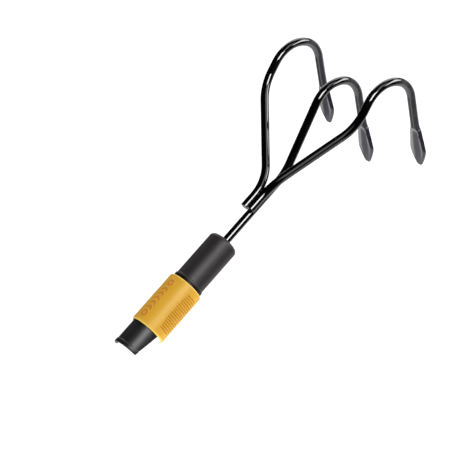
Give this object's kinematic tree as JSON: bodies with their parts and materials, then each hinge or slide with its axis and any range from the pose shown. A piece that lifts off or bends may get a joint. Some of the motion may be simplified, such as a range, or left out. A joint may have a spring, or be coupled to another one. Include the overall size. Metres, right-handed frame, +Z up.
{
  "type": "hand cultivator head",
  "caption": "Three-tine cultivator head: hooked steel rods with spear blades on a quick-lock socket with a sprung sliding lock sleeve.",
  "frame": {"origin": "centre of the flat floor of the handle socket, on the shank's axis", "axes": "+X along the shank from the socket towards the tines, +Y towards the left tine, +Z up; the hooks point to -Z and the socket opens to -X"},
  "size_m": [0.3069, 0.1284, 0.1085],
  "materials": {
    "tine_coat": "gloss black powder coat, satin grey on the blades",
    "ferrule_plastic": "charcoal, fine moulded grain",
    "socket_plastic": "black, satin",
    "sleeve_plastic": "orange, satin, ribbed on both sides",
    "black_steel": "blackened",
    "spring_steel": "bright drawn wire"
  },
  "bodies": {
    "head": {"centre_tine": "tine_coat", "left_tine": "tine_coat", "right_tine": "tine_coat", "weld_left": "tine_coat", "weld_right": "tine_coat", "weld_top": "tine_coat", "ferrule": "ferrule_plastic", "socket_body": "socket_plastic", "spring_washer": "black_steel", "return_spring": "spring_steel", "shank_pin": "spring_steel"},
    "sleeve": {"lock_sleeve": "sleeve_plastic"},
    "ball_1": {"lock_ball_1": "spring_steel"},
    "ball_2": {"lock_ball_2": "spring_steel"},
    "ball_3": {"lock_ball_3": "spring_steel"}
  },
  "joints": [
    {"name": "sleeve_slide", "type": "slide", "parent": "head", "child": "sleeve", "axis": [1, 0, 0], "range_m": [0, 0.007], "stiffness_N_per_m": 1000, "springref_m": -0.008, "deforming": ["return_spring"]},
    {"name": "ball_1_slide", "type": "slide", "parent": "head", "child": "ball_1", "axis": [0, 0, 1], "range_m": [0, 0.0011]},
    {"name": "ball_2_slide", "type": "slide", "parent": "head", "child": "ball_2", "axis": [0, -0.866, -0.5], "range_m": [0, 0.0011]},
    {"name": "ball_3_slide", "type": "slide", "parent": "head", "child": "ball_3", "axis": [0, 0.866, -0.5], "range_m": [0, 0.0011]}
  ],
  "couplings": [
    {"joint": "ball_1_slide", "follows": "sleeve_slide", "ratio": 0.15},
    {"joint": "ball_2_slide", "follows": "sleeve_slide", "ratio": 0.15},
    {"joint": "ball_3_slide", "follows": "sleeve_slide", "ratio": 0.15}
  ]
}
